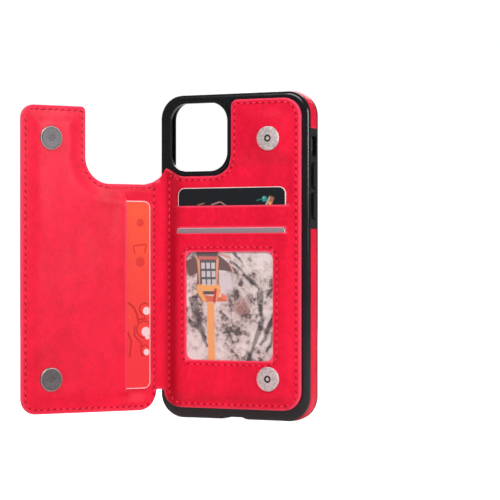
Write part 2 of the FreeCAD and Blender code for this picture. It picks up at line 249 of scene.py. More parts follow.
def flat_blank(corners, rim, step, cutters):
    """A flat leather blank 1 mm thick, gridded, with holes cut in it. Its front is at y = 0.

    cutters are (outline, depth of the punch); a depth over 1 goes right through.
    """
    bm = bmesh.new()
    faces = polygon(bm, corners)
    for width in rim:
        bmesh.ops.inset_region(bm, faces=faces, thickness=width, use_even_offset=True, use_boundary=True)
    slice_grid(bm, step)
    thicken(bm, (0, 1, 0))
    bmesh.ops.recalc_face_normals(bm, faces=bm.faces)
    blank = linked_object("blank", bm)
    tools = [blank]
    for corners_of_hole, reach in cutters:
        hole = bmesh.new()
        polygon(hole, corners_of_hole)
        bmesh.ops.translate(hole, vec=(0, -1, 0), verts=hole.verts)
        thicken(hole, (0, 1 + reach, 0))
        bmesh.ops.recalc_face_normals(hole, faces=hole.faces)
        tool = linked_object("punch", hole)
        cut = blank.modifiers.new("punch", "BOOLEAN")
        cut.object = tool
        cut.operation = "DIFFERENCE"
        cut.solver = "EXACT"
        tools.append(tool)
    cut_mesh = bpy.data.meshes.new_from_object(blank.evaluated_get(bpy.context.evaluated_depsgraph_get()))
    bm = bmesh.new()
    bm.from_mesh(cut_mesh)
    for tool in tools:
        mesh = tool.data
        bpy.data.objects.remove(tool)
        bpy.data.meshes.remove(mesh)
    bpy.data.meshes.remove(cut_mesh)
    return bm


def crease(points, x, depth, angle, width):
    """Folds points (an n by 3 array) that lie beyond a crease, round an upright line."""
    radius = width / angle
    travelled = np.clip((x + width / 2 - points[:, 0]) / width, 0, 1)
    beyond = np.maximum(x - width / 2 - points[:, 0], 0)
    ahead = np.minimum(x + width / 2 - points[:, 0], 0)
    turn = angle * travelled
    lift = points[:, 1] + depth
    out = points.copy()
    out[:, 0] = x + width / 2 - radius * np.sin(turn) - beyond * np.cos(turn) - np.sin(turn) * lift - ahead
    out[:, 1] = -depth - radius * (1 - np.cos(turn)) - beyond * np.sin(turn) + np.cos(turn) * lift
    return out


def fold(points):
    """Takes points of the flat layout to the half-open case: the flap's crease first, then the spine's."""
    moved = crease(points, flap_x, fold_depth, crease_angle, crease_width)
    return crease(moved, fold_x, fold_depth, crease_angle, crease_width)


def fold_mesh(bm):
    bm.verts.ensure_lookup_table()
    moved = fold(np.array([v.co for v in bm.verts]))
    for vert, place in zip(bm.verts, moved):
        vert.co = place


def shape_sheet(bm, front, back):
    """Gives a blank its two faces: depth functions of (x, z) arrays for its front and its back.

    The floor of a blind slit, punched half way through, lies half way between them.
    """
    bm.verts.ensure_lookup_table()
    flat = np.array([v.co for v in bm.verts])
    points = flat[:, [0, 2]]
    share = np.round(flat[:, 1] * 2) / 2
    depth = mix(front(points), back(points), share)
    for vert, value in zip(bm.verts, depth):
        vert.co.y = -value
    return points, share < 0.9


def mark(piece, name, values):
    """Stores a number on each point of a piece, for its material."""
    attribute = piece.data.attributes.new(name, "FLOAT", "POINT")
    attribute.data.foreach_set("value", np.asarray(values, np.float32))


# ---------------------------------------------------------------- shader groups
def group(name, inputs, outputs):
    """A node group with float inputs {name: default} and outputs {name: kind}."""
    tree = bpy.data.node_groups.new(name, "ShaderNodeTree")
    for label, value in inputs.items():
        socket = tree.interface.new_socket(label, in_out="INPUT", socket_type="NodeSocketFloat")
        socket.default_value = value
    for label, kind in outputs.items():
        tree.interface.new_socket(label, in_out="OUTPUT", socket_type=kind)
    return tree, tree.nodes.new("NodeGroupInput"), tree.nodes.new("NodeGroupOutput")


def add(tree, kind, links=None, **values):
    """A shader node with properties, plain input values and links {input: socket}."""
    node = tree.nodes.new(kind)
    for key, value in values.items():
        if hasattr(node, key):
            setattr(node, key, value)
        else:
            node.inputs[key.replace("_", " ")].default_value = value
    for key, socket in (links or {}).items():
        tree.links.new(socket, node.inputs[key])
    return node


def math_node(tree, operation, first, second=None, third=None):
    node = tree.nodes.new("ShaderNodeMath")
    node.operation = operation
    for slot, value in enumerate((first, second, third)):
        if value is None:
            continue
        if isinstance(value, (int, float)):
            node.inputs[slot].default_value = value
        else:
            tree.links.new(value, node.inputs[slot])
    return node.outputs[0]


def ramp(tree, factor, stops):
    """A colour ramp from stops [(place, colour or grey)]."""
    node = tree.nodes.new("ShaderNodeValToRGB")
    elements = node.color_ramp.elements
    while len(elements) < len(stops):
        elements.new(0.5)
    for element, (place, colour) in zip(elements, stops):
        element.position = place
        element.color = (*colour, 1) if isinstance(colour, tuple) else (colour, colour, colour, 1)
    tree.links.new(factor, node.inputs[0])
    return node.outputs[0]


def noise(tree, place, scale, **values):
    """The value of a noise texture read at a place."""
    return add(tree, "ShaderNodeTexNoise", {"Vector": place}, Scale=scale, **values).outputs["Fac"]


def leather_grain_group():
    """Fine pebbles, soft wrinkles and cloudy dye for leather: a height, a dye mask and a gloss mask."""
    tree, given, result = group("leather_grain", {"Grain": 1500.0, "Crease": 95.0},
                                {"Height": "NodeSocketFloat", "Mottle": "NodeSocketFloat",
                                 "Gloss": "NodeSocketFloat"})
    place = add(tree, "ShaderNodeTexCoord").outputs["Object"]
    drawn = add(tree, "ShaderNodeMapping", {"Vector": place})
    drawn.inputs["Scale"].default_value = (1.0, 1.0, 0.45)
    pebbles = add(tree, "ShaderNodeTexVoronoi", {"Vector": place, "Scale": given.outputs["Grain"]},
                  feature="SMOOTH_F1")
    pores = add(tree, "ShaderNodeTexNoise", {"Vector": place, "Scale": given.outputs["Grain"]}, Detail=3.0)
    creases = add(tree, "ShaderNodeTexNoise",
                  {"Vector": drawn.outputs["Vector"], "Scale": given.outputs["Crease"]},
                  Detail=6.0, Roughness=0.62, Distortion=0.6)
    slow = noise(tree, drawn.outputs["Vector"], 30.0, Detail=3.0, Distortion=0.8)
    middle = noise(tree, place, 150.0, Detail=5.0, Roughness=0.65)
    speckle = noise(tree, place, 620.0, Detail=3.0, Roughness=0.6)
    fine = math_node(tree, "MULTIPLY", pebbles.outputs["Distance"], 0.35)
    fine = math_node(tree, "MULTIPLY_ADD", pores.outputs["Fac"], 0.25, fine)
    height = math_node(tree, "MULTIPLY_ADD", creases.outputs["Fac"], 3.2, fine)
    cloud = math_node(tree, "MULTIPLY", slow, 0.32)
    cloud = math_node(tree, "MULTIPLY_ADD", middle, 0.40, cloud)
    cloud = math_node(tree, "MULTIPLY_ADD", speckle, 0.28, cloud)
    tree.links.new(height, result.inputs["Height"])
    tree.links.new(cloud, result.inputs["Mottle"])
    tree.links.new(creases.outputs["Fac"], result.inputs["Gloss"])
    return tree


def fine_wear_group():
    """Faint smudges and hairlines for hard, smooth surfaces."""
    tree, given, result = group("fine_wear", {"Scale": 90.0}, {"Smudge": "NodeSocketFloat",
                                                              "Height": "NodeSocketFloat"})
    place = add(tree, "ShaderNodeTexCoord").outputs["Object"]
    smudge = add(tree, "ShaderNodeTexNoise", {"Vector": place, "Scale": given.outputs["Scale"]}, Detail=4.0)
    tree.links.new(smudge.outputs["Fac"], result.inputs["Smudge"])
    tree.links.new(noise(tree, place, 2600.0, Detail=2.0), result.inputs["Height"])
    return tree


grain_group = leather_grain_group()
wear_group = fine_wear_group()


# ---------------------------------------------------------------- materials
def new_material(name, **sockets):
    """A material with its Principled shader; sockets are plain values set on it."""
    material = bpy.data.materials.new(name)
    material.use_nodes = True
    tree = material.node_tree
    shader = tree.nodes["Principled BSDF"]
    for key, value in sockets.items():
        shader.inputs[key.replace("_", " ")].default_value = value
    return material, tree, shader


def use_group(tree, node_tree, **values):
    node = tree.nodes.new("ShaderNodeGroup")
    node.node_tree = node_tree
    for key, value in values.items():
        node.inputs[key].default_value = value
    return node


def follow(tree, source, swing, base, target):
    """Sets a shader input to base plus swing times a source."""
    tree.links.new(math_node(tree, "MULTIPLY_ADD", source, swing, base), target)


def bump(tree, shader, height, strength, distance):
    node = add(tree, "ShaderNodeBump", {"Height": height}, Strength=strength, Distance=distance)
    tree.links.new(node.outputs["Normal"], shader.inputs["Normal"])


def inside(tree, coordinate, low, high, soft=0.25):
    """1 where a coordinate in millimetres lies between two values, with soft ends."""
    rising = math_node(tree, "MULTIPLY_ADD", math_node(tree, "SUBTRACT", coordinate, low), 1 / soft, 0.5)
    falling = math_node(tree, "MULTIPLY_ADD", math_node(tree, "SUBTRACT", high, coordinate), 1 / soft, 0.5)
    for node in (rising, falling):
        node.node.use_clamp = True
    return math_node(tree, "MULTIPLY", rising, falling)


def lay_over(tree, below, colour, mask):
    """Lays one colour over another through a mask."""
    layer = add(tree, "ShaderNodeMix", data_type="RGBA")
    tree.links.new(mask, layer.inputs["Factor"])
    tree.links.new(below, layer.inputs["A"])
    if isinstance(colour, tuple):
        layer.inputs["B"].default_value = (*colour, 1)
    else:
        tree.links.new(colour, layer.inputs["B"])
    return layer.outputs["Result"]


def leather_material(name, deep, bright, edge, roughness, grain, depth):
    """Smooth coated leather: deep and bright are its mottled colours, edge the lighter colour laid along its
    edges, partly the cut edges' own colour and partly a painted edge highlight.
    """
    material, tree, shader = new_material(name, Roughness=roughness, Specular_IOR_Level=0.13,
                                          Coat_Weight=0.04, Coat_Roughness=0.26)
    surface = use_group(tree, grain_group, Grain=grain)
    tone = ramp(tree, surface.outputs["Mottle"], [(0.36, deep), (0.64, bright)])
    # Lighter edge colour: partly the cut edges' own colour, partly a painted edge highlight.
    edge_lit_mask = add(tree, "ShaderNodeAttribute", attribute_name="edge_wear_and_highlight").outputs["Fac"]
    edged = lay_over(tree, tone, edge, edge_lit_mask)
    # Painted shade: the band beside the spine and the flap's crease are darkened towards a deeper red.
    crease_shade_mask = add(tree, "ShaderNodeAttribute", attribute_name="painted_fold_shade").outputs["Fac"]
    crease_shaded = lay_over(tree, edged, tuple(0.62 * part for part in deep), crease_shade_mask)
    tree.links.new(crease_shaded, shader.inputs["Base Color"])
    follow(tree, surface.outputs["Gloss"], -0.5, roughness + 0.25, shader.inputs["Roughness"])
    bump(tree, shader, surface.outputs["Height"], 0.6, depth)
    return material


def moulded_material(name, colour, roughness):
    """Moulded plastic with faint handling marks."""
    material, tree, shader = new_material(name, Base_Color=(*colour, 1), Specular_IOR_Level=0.38,
                                          Coat_Weight=0.12, Coat_Roughness=0.10)
    surface = use_group(tree, wear_group, Scale=70.0)
    follow(tree, surface.outputs["Smudge"], 0.16, roughness - 0.08, shader.inputs["Roughness"])
    bump(tree, shader, surface.outputs["Height"], 0.25, 0.00003)
    return material


def metal_material(name, colour, roughness):
    """Plated metal with fine turned marks."""
    material, tree, shader = new_material(name, Base_Color=(*colour, 1), Metallic=1.0)
    surface = use_group(tree, wear_group, Scale=1100.0)
    follow(tree, surface.outputs["Smudge"], 0.2, roughness - 0.1, shader.inputs["Roughness"])
    dulled = tuple(0.72 * part for part in colour)
    plating = ramp(tree, surface.outputs["Smudge"], [(0.38, dulled), (0.60, colour)])
    tree.links.new(plating, shader.inputs["Base Color"])
    bump(tree, shader, surface.outputs["Height"], 0.3, 0.00002)
    return material


def cloth_material(name, dark, light, scale):
    """Short-napped lining cloth."""
    material, tree, shader = new_material(name, Roughness=0.9, Specular_IOR_Level=0.2, Sheen_Weight=0.4)
    place = add(tree, "ShaderNodeTexCoord").outputs["Object"]
    nap = noise(tree, place, scale, Detail=5.0)
    tree.links.new(ramp(tree, nap, [(0.35, dark), (0.7, light)]), shader.inputs["Base Color"])
    bump(tree, shader, nap, 0.5, 0.00008)
    return material


RED_DEEP = (0.68, 0.005, 0.028)
RED_BRIGHT = (0.92, 0.010, 0.052)
RED_EDGE = (0.93, 0.085, 0.16)
leather = leather_material("red_leather", RED_DEEP, RED_BRIGHT, RED_EDGE, 0.43, 1500.0, 0.00006)
thread = leather_material("red_thread", (0.80, 0.020, 0.065), (0.94, 0.045, 0.11), RED_EDGE, 0.6, 4000.0,
                          0.00005)
needle_hole = leather_material("needle_hole", (0.26, 0.0, 0.012), (0.36, 0.001, 0.018), (0.36, 0.0, 0.015),
                               0.8, 4000.0, 0.00003)
shell_plastic = moulded_material("black_shell", (0.0075, 0.007, 0.0085), 0.20)
nickel = metal_material("nickel_plate", (0.84, 0.75, 0.74), 0.54)
dark_nickel = metal_material("worn_nickel", (0.125, 0.116, 0.122), 0.48)
# Painted highlight: a lighter, pink-tinted metal for the flap snaps' rim, standing in for the light and the
# red leather that the rim reflects.
painted_highlight_rim_nickel = metal_material("painted_highlight_rim_nickel", (0.42, 0.34, 0.33), 0.5)
tarnish = metal_material("tarnished_nickel", (0.10, 0.08, 0.08), 0.5)
magnet_metal = metal_material("magnet", (0.30, 0.30, 0.31), 0.45)
lining = cloth_material("dark_lining", (0.012, 0.012, 0.014), (0.035, 0.035, 0.04), 1400.0)
board = cloth_material("grey_board", (0.20, 0.18, 0.16), (0.34, 0.31, 0.28), 700.0)
card_core = moulded_material("white_card_edge", (0.80, 0.72, 0.70), 0.5)
orange_core = moulded_material("pink_card_edge", (0.90, 0.50, 0.54), 0.5)


def clear_film_material():
    """Thin clear window film: mostly clear, with gloss."""
    material, tree, shader = new_material("clear_film", Base_Color=(0.95, 0.95, 0.97, 1),
                                          Specular_IOR_Level=0.25)
    surface = use_group(tree, wear_group, Scale=45.0)
    follow(tree, surface.outputs["Smudge"], 0.12, 0.04, shader.inputs["Roughness"])
    follow(tree, surface.outputs["Smudge"], 0.03, 0.01, shader.inputs["Alpha"])
    return material


def stroke(tree, x, z, start, end, width, soft=0.35, taper=0.0):
    """1 along a straight brush stroke between two points in millimetres, which may taper to its end."""
    run = Vector(end) - Vector(start)
    way = run.normalized()
    from_x = math_node(tree, "SUBTRACT", x, start[0])
    from_z = math_node(tree, "SUBTRACT", z, start[1])
    along = math_node(tree, "MULTIPLY_ADD", from_x, way.x, math_node(tree, "MULTIPLY", from_z, way.y))
    across = math_node(tree, "MULTIPLY_ADD", from_x, -way.y, math_node(tree, "MULTIPLY", from_z, way.x))
    half = math_node(tree, "MULTIPLY_ADD", along, -taper * width / 2 / run.length, width / 2)
    room = math_node(tree, "SUBTRACT", half, math_node(tree, "ABSOLUTE", across))
    line = math_node(tree, "MULTIPLY_ADD", room, 1 / soft, 0.5)
    line.node.use_clamp = True
    return math_node(tree, "MULTIPLY", line, inside(tree, along, 0.0, run.length, 0.8))


def disc(tree, x, z, middle, radius, soft=0.25):
    """1 inside a disc, in millimetres."""
    from_x = math_node(tree, "SUBTRACT", x, middle[0])
    from_z = math_node(tree, "SUBTRACT", z, middle[1])
    square = math_node(tree, "MULTIPLY_ADD", from_x, from_x, math_node(tree, "MULTIPLY", from_z, from_z))
    away = math_node(tree, "SQRT", square)
    room = math_node(tree, "MULTIPLY_ADD", away, -1 / soft, radius / soft + 0.5)
    room.node.use_clamp = True
    return room


def in_millimetres(tree):
    """The object's x and z, in millimetres, and its plain coordinates."""
    place = add(tree, "ShaderNodeTexCoord").outputs["Object"]
    parts = add(tree, "ShaderNodeSeparateXYZ", {"Vector": place})
    x = math_node(tree, "MULTIPLY", parts.outputs["X"], 1 / MM)
    z = math_node(tree, "MULTIPLY", parts.outputs["Z"], 1 / MM)
    return place, x, z


# The picture's strokes, in millimetres from the window's top left corner: x and z of both ends, then the
# width. The lamp's strokes also have a colour and a taper.
BOUGHS = ((3, -20, 10, -43, 3.6), (1, -31, 10, -39, 2.6), (24.4, 0, 28, -5, 1.7), (22, -4, 29, -9.4, 1.5),
          (28.5, -10, 37, -17, 1.9), (37, -18, 38.6, -31, 3.4), (45, -14, 40, -21, 1.7),
          (38.6, -30, 31.5, -48, 2.8), (45, -27, 37, -42, 2.5), (45, -33, 40, -45, 2.3),
          (24, -16, 27.5, -21, 1.1), (16.8, -27, 21, -30.4, 1.7), (20.5, -35.5, 24, -41, 1.2),
          (31, -48, 37, -51, 2.8))
ROOF_BROWN = (0.12, 0.06, 0.06)
ROOF_TRIM = (0.60, 0.31, 0.25)
LAMP_AMBER = (0.85, 0.38, 0.10)
LAMP_GLOW = (0.72, 0.32, 0.16)
LAMP = ((0.2, -7.8, 5.8, -5.4, 7.2, (0.13, 0.058, 0.055), 0.0),
        (15.0, -4.6, 24.6, -8.4, 7.0, ROOF_BROWN, 0.8),
        (5.0, -0.9, 16.0, -0.9, 2.0, (0.08, 0.06, 0.06), 0.0),
        (16.4, -0.7, 22.2, -2.8, 1.0, ROOF_TRIM, 0.0),
        (21.4, -4.6, 23.9, -9.2, 0.9, ROOF_TRIM, 0.0),
        (10.9, -1.9, 10.9, -15.4, 11.0, (0.13, 0.05, 0.05), 0.0),
        (5.9, -2.6, 7.1, -15.2, 1.3, LAMP_GLOW, 0.0),
        (15.8, -2.6, 15.0, -15.2, 1.3, LAMP_GLOW, 0.0),
        (5.6, -2.8, 15.9, -2.8, 1.3, (0.58, 0.13, 0.10), 0.0),
        (10.9, -3.9, 10.9, -15.0, 8.0, (0.07, 0.07, 0.09), 0.0),
        (5.3, -16.2, 17.2, -16.2, 2.9, LAMP_AMBER, 0.0),
        (8.0, -21.0, 20.4, -21.6, 3.2, (0.64, 0.13, 0.05), 0.5),
        (5.9, -17.0, 9.6, -22.6, 2.4, (0.83, 0.36, 0.10), 0.3),
        (16.6, -17.0, 14.2, -22.6, 2.2, (0.83, 0.30, 0.08), 0.3),
        (8.6, -18.5, 14.4, -18.5, 1.5, (0.10, 0.03, 0.03), 0.0),
        (14.8, -16.5, 14.0, -23.2, 1.3, (0.52, 0.01, 0.03), 0.0),
        (17.6, -19.4, 20.2, -21.0, 1.7, (0.86, 0.17, 0.07), 0.0),
        (12.3, -22.8, 12.9, -56.0, 3.5, (0.86, 0.36, 0.11), 0.0))


def picture_material():
    """A made-up garden picture on matt paper: pale blossom, dark boughs and a lamp on a post."""
    material, tree, shader = new_material("garden_picture", Roughness=0.6, Specular_IOR_Level=0.3)
    place, x, z = in_millimetres(tree)
    across = math_node(tree, "SUBTRACT", x, window_middle.x - window_half_width)
    down = math_node(tree, "SUBTRACT", z, window_middle.z + window_half_height)
    petals = noise(tree, place, 330.0, Detail=5.0, Roughness=0.72)
    clumps = noise(tree, place, 75.0, Detail=3.0)
    spread = math_node(tree, "MULTIPLY_ADD", clumps, 0.55, math_node(tree, "MULTIPLY", petals, 0.6))
    colour = ramp(tree, spread, [(0.47, (0.08, 0.055, 0.055)), (0.51, (0.30, 0.22, 0.21)),
                                 (0.56, (0.58, 0.48, 0.46)), (0.66, (0.76, 0.67, 0.66))])
    shake = noise(tree, place, 140.0, Detail=3.0)
    bent = math_node(tree, "ADD", across, math_node(tree, "MULTIPLY_ADD", shake, 5.0, -2.5))
    frayed = ramp(tree, petals, [(0.47, 0.0), (0.51, 1.0)])
    for x0, z0, x1, z1, width in BOUGHS:
        bough = stroke(tree, bent, down, (x0, z0), (x1, z1), width, 0.7, 0.5)
        bough = math_node(tree, "MULTIPLY", bough, math_node(tree, "MULTIPLY_ADD", frayed, -0.3, 1.0))
        colour = lay_over(tree, colour, (0.040, 0.028, 0.030), bough)
    blush = disc(tree, bent, down, (27.5, -25), 4.0, 3.0)
    colour = lay_over(tree, colour, (0.34, 0.15, 0.13), math_node(tree, "MULTIPLY", blush, frayed))
    haze = disc(tree, across, down, (20, -14), 4.4, 4.0)
    colour = lay_over(tree, colour, (0.66, 0.58, 0.60), haze)
    for x0, z0, x1, z1, width, tint, taper in LAMP:
        shape = stroke(tree, across, down, (x0, z0), (x1, z1), width, taper=taper)
        colour = lay_over(tree, colour, tint, shape)
    for row in range(3):
        for column in range(3):
            pane_left = 7.5 + column * 2.55 + row * 0.22
            pane_top = -4.9 - row * 3.75
            pane = math_node(tree, "MULTIPLY", inside(tree, across, pane_left, pane_left + 1.85),
                             inside(tree, down, pane_top - 2.7, pane_top))
            colour = lay_over(tree, colour, (0.58, 0.54, 0.56), pane)
    colour = lay_over(tree, colour, (0.27, 0.225, 0.255), inside(tree, z, lower_mouth - 4.0, 99.0, 0.4))
    tree.links.new(colour, shader.inputs["Base Color"])
    bump(tree, shader, noise(tree, place, 3000.0, Detail=2.0), 0.2, 0.00002)
    return material


def card_face_material(name, low_ground, high_ground, roughness, specks, marks):
    """A printed plastic card: a ground that changes with height, light specks, and marks laid over it.

    marks are rows of numbers with a colour last: x, z and radius make a disc, and x and z of both ends and
    a width make a stroke. They are placed in the flat layout, which each point of a card keeps.
    """
    material, tree, shader = new_material(name, Roughness=roughness, Specular_IOR_Level=0.16,
                                          Coat_Weight=0.03, Coat_Roughness=0.15)
    place = add(tree, "ShaderNodeTexCoord").outputs["Object"]
    x = add(tree, "ShaderNodeAttribute", attribute_name="card_x").outputs["Fac"]
    z = add(tree, "ShaderNodeAttribute", attribute_name="card_z").outputs["Fac"]
    cloud = math_node(tree, "MULTIPLY_ADD", noise(tree, place, 60.0, Detail=3.0), 0.6, 0.3)
    height = math_node(tree, "MULTIPLY_ADD", z, 0.009, cloud)
    colour = ramp(tree, height, [(0.25, low_ground), (0.8, high_ground)])
    dots = add(tree, "ShaderNodeTexVoronoi", {"Vector": place}, Scale=240.0).outputs["Distance"]
    colour = lay_over(tree, colour, specks, ramp(tree, dots, [(0.035, 1.0), (0.07, 0.0)]))
    for *numbers, tint in marks:
        if len(numbers) == 3:
            shape = disc(tree, x, z, numbers[:2], numbers[2])
        else:
            shape = stroke(tree, x, z, numbers[:2], numbers[2:4], numbers[4], 0.3)
        colour = lay_over(tree, colour, tint, shape)
    tree.links.new(colour, shader.inputs["Base Color"])
    fine = use_group(tree, wear_group, Scale=120.0)
    bump(tree, shader, fine.outputs["Height"], 0.15, 0.00002)
    return material


film = clear_film_material()
picture_print = picture_material()
black_card = card_face_material(
    "black_card", (0.008, 0.010, 0.013), (0.011, 0.014, 0.017), 0.38, (0.22, 0.22, 0.23),
    [(16.6, 25.6, 1.35, (0.02, 0.26, 0.23)), (16.3, 26.0, 0.35, (0.6, 0.45, 0.45)),
     (12.6, 24.9, 15.0, 25.4, 0.5, (0.02, 0.20, 0.18)), (17.2, 22.4, 19.4, 26.6, 0.9, (0.50, 0.36, 0.33)),
     (19.2, 22.6, 20.6, 26.4, 2.0, (0.34, 0.13, 0.07)), (19.3, 23.6, 0.8, (0.75, 0.36, 0.12)),
     (-17.0, 23.1, -13.6, 24.0, 0.6, (0.30, 0.14, 0.10)), (-10.0, 23.2, -5.6, 24.5, 0.6, (0.42, 0.22, 0.18)),
     (-5.4, 24.5, -2.6, 22.8, 0.5, (0.42, 0.24, 0.20))])
card_side = flap_x - 2.6
faint_red = (0.60, 0.022, 0.02)
dull_red = (0.52, 0.014, 0.018)
pearl = (0.80, 0.60, 0.62)
card_red = (0.82, 0.045, 0.040)
orange_strokes = [(8.6, 4.6, 2.2, 5.4, 0.7, faint_red), (2.2, 5.4, 2.8, 1.4, 0.7, faint_red),
                  (8.6, 4.6, 8.0, 0.8, 0.7, faint_red), (11.4, -21.2, 8.4, -23.4, 1.0, dull_red),
                  (8.6, -23.0, 6.8, -26.8, 1.0, dull_red), (6.9, -26.4, 6.0, -31.0, 1.0, dull_red),
                  (6.6, -29.0, 2.2, -28.4, 0.8, dull_red), (8.0, -31.5, 8.2, -36.5, 0.9, dull_red),
                  (8.2, -36.0, 5.0, -39.5, 0.8, dull_red), (11.6, -34.5, 9.6, -39.0, 0.9, dull_red),
                  (9.7, -38.4, 10.6, -46.0, 0.9, dull_red), (4.6, -39.5, 4.4, -45.5, 0.8, dull_red)]
orange_rings = [(2.9, -24.2, 3.0, dull_red), (2.7, -24.2, 2.4, card_red), (3.4, -33.4, 4.0, dull_red),
                (3.2, -33.4, 3.4, card_red), (2.7, -43.0, 2.5, dull_red), (2.5, -43.0, 1.9, card_red),
                (2.0, -25.0, 1.8, pearl), (2.3, -34.5, 2.2, pearl), (1.6, -37.0, 1.0, pearl),
                (2.0, -43.8, 1.45, pearl)]
orange_marks = [(card_side - 5.2, 15.2, 1.9, (0.68, 0.035, 0.025)),
                (card_side - 5.2, -2.6, 2.3, (0.66, 0.03, 0.025))]
orange_marks += [(card_side - x0, z0, card_side - x1, z1, width, tint)
                 for x0, z0, x1, z1, width, tint in orange_strokes]
orange_marks += [(card_side - x, z, radius, tint) for x, z, radius, tint in orange_rings]
orange_card = card_face_material("orange_card", (0.80, 0.030, 0.042), (0.84, 0.080, 0.030), 0.45,
                                 (0.86, 0.17, 0.10), orange_marks)


# ---------------------------------------------------------------- the wallet's leather
plate_outline = [(fold_x, plate_bottom, 8.3), (plate_right, plate_bottom, plate_corner),
                 (plate_right, plate_top, plate_corner), (cut_right, plate_top, 3.0),
                 (cut_right, cut_bottom, cut_corner), (-26.5, cut_bottom, 8.0), (fold_x, peak_z, 1.2)]
wallet_outline = [(spine_middle, spine_foot, 0), (fold_x - notch_lap, spine_foot, 1.1),
                  (fold_x - notch_lap, plate_bottom, 9.0)]
wallet_outline = wallet_outline + plate_outline[1:-1] + [(fold_x, peak_z, 0.8), (spine_middle, spine_top, 0)]
flap_outline = [(spine_middle, spine_top, 0), (flap_x - 0.6, 33.9, 2.5), (-43.5, flap_cut_bottom, 6.0),
                (flap_tab_x, flap_cut_bottom, 12.0),
                (flap_tab_x, flap_top, 2.0), (flap_left, flap_top, 6.0), (flap_left, flap_bottom, 7.0),
                (flap_x + notch_lap, flap_bottom, 9.0), (flap_x + notch_lap, spine_foot, 1.1),
                (spine_middle, spine_foot, 0)]
flap_seam_x = flap_x + flap_seam_shift
flap_plate = [(flap_seam_x, 33.6, 2.0), (-43.5, flap_cut_bottom, 6.0)] + flap_outline[3:7]
flap_plate = flap_plate + [(flap_seam_x, flap_bottom, 8.3)]
plate_loop = outline_loop(plate_outline)
past_seam = 9.0
wallet_loop = outline_loop([(spine_middle - past_seam, spine_foot, 0)] + wallet_outline[1:-1]
                           + [(spine_middle - past_seam, spine_top, 0)])
flap_loop = outline_loop([(spine_middle + past_seam, spine_top, 0)] + flap_outline[1:-1]
                         + [(spine_middle + past_seam, spine_foot, 0)])


def rolled(edge):
    """How far a turned edge drops below the face, from its distance to the outline."""
    return roll_drop * np.clip(1 - edge / roll_width, 0, 1) ** 2


def stitch_channel(edge):
    """How far the leather sinks under the stitching."""
    return stitch_groove * np.exp(-((edge - stitch_inset) / stitch_groove_width) ** 2)


def wallet_front(points):
    """Depth of the wallet's face: a low stitched hem, and pocket levels stepping up towards the window."""
    x, z = points[:, 0], points[:, 1]
    edge = edge_distance(points, plate_loop)
    outer = edge_distance(points, wallet_loop)
    flank = smooth((np.abs(x) - slit_half + 1.6) / 2.6)
    snap_away = np.hypot(x - snap_middle["upper"].x, z - snap_middle["upper"].z)
    crown = lower_face - 0.8 * smooth((snap_away - 5.8) / 9.0)
    over_upper = mix(base_face, crown, smooth((z - 39.6) / 8.5))
    stepped = np.where(z > upper_mouth, over_upper, np.where(z > lower_mouth + 0.1, middle_face, lower_face))
    eased = mix(middle_face, over_upper, smooth((z - upper_mouth + 2.5) / 8.0))
    eased = mix(lower_face, eased, smooth((z - lower_mouth + 5.0) / 9.0))
    level = mix(stepped, eased, flank)
    sag = 0.16 * np.sin(x * 0.11 + 0.6) * np.exp(-((z - upper_mouth + 5.0) / 9.0) ** 2) * (1 - flank)
    level = level + np.where(z < upper_mouth, sag, 0)
    swell = 0.10 * np.sin(x * 0.21) * np.sin(z * 0.083 + 1.0) * smooth((edge - 4.5) / 4.0)
    level = level + np.where(z > lower_mouth, 0, swell)
    frame_edge = np.maximum(np.abs(x - window_middle.x) - window_half_width,
                            np.abs(z - window_middle.z) - window_half_height)
    level = level - 0.28 * np.exp(-((frame_edge - 2.0) / 0.6) ** 2)
    level = level - 0.22 * np.clip(1 - frame_edge / 0.7, 0, 1)
    ramp_width = mix(4.2, 6.6, smooth((z - 34.0) / 10.0))
    card_path = smooth((29.4 - np.abs(x)) / 1.6) * smooth((z - 29.0) / 4.0) * smooth((43.0 - z) / 3.0)
    hem = mix(hem_depth, raised_card_hem, card_path)
    depth = mix(hem, level, smooth((edge - 2.4) / mix(ramp_width, 1.2, card_path)))
    depth = mix(spine_front, depth, smooth((x - fold_x) / 1.6))
    return depth - rolled(outer) - stitch_channel(edge)


def wallet_back(points):
    edge = edge_distance(points, plate_loop)
    inner = wallet_front(points) - sheet + 0.04
    depth = mix(back_face, inner, smooth((edge - 1.2) / 2.4))
    spine = smooth((fold_x + 0.9 - points[:, 0]) / 1.8)
    turned = np.clip(1 - edge_distance(points, wallet_loop) / 0.6, 0, 1)
    return mix(depth, spine_back, spine) + 0.25 * turned ** 2


def painted_crease_shade(points):
    """Painted shade: how far the leather is darkened in a band beside the spine's crease and along the flap's
    crease.
    """
    x = points[:, 0]
    beside = 0.95 * np.exp(-((x - fold_x - 3.8) / 3.6) ** 2)
    return np.clip(beside + 0.45 * np.exp(-((x - flap_x + 0.3) / 0.8) ** 2), 0, 1)


def leather_piece(name, outline, cutters, front, back, edge_lightening):
    """One leather skin: blanked, punched, shaped and folded, with its lighter edges (partly wear, partly
    painted highlight) and its painted crease shade marked.
    """
    bm = flat_blank(outline, (0.35, 0.5), 1.0, cutters)
    points, on_front = shape_sheet(bm, front, back)
    fold_mesh(bm)
    piece = new_object(name, bm, [leather])
    mark(piece, "edge_wear_and_highlight", edge_lightening(points, on_front))
    # Painted crease shade, on the front face only.
    mark(piece, "painted_fold_shade", painted_crease_shade(points) * on_front)
    return piece


def slit_rim_mask(points, x, z, half_x, half_z, width):
    """1 along the rim of a straight slit, falling to 0 over a width."""
    away = np.maximum(np.abs(points[:, 0] - x) - half_x, np.abs(points[:, 1] - z) - half_z)
    return np.clip(1 - np.maximum(away, 0) / width, 0, 1)


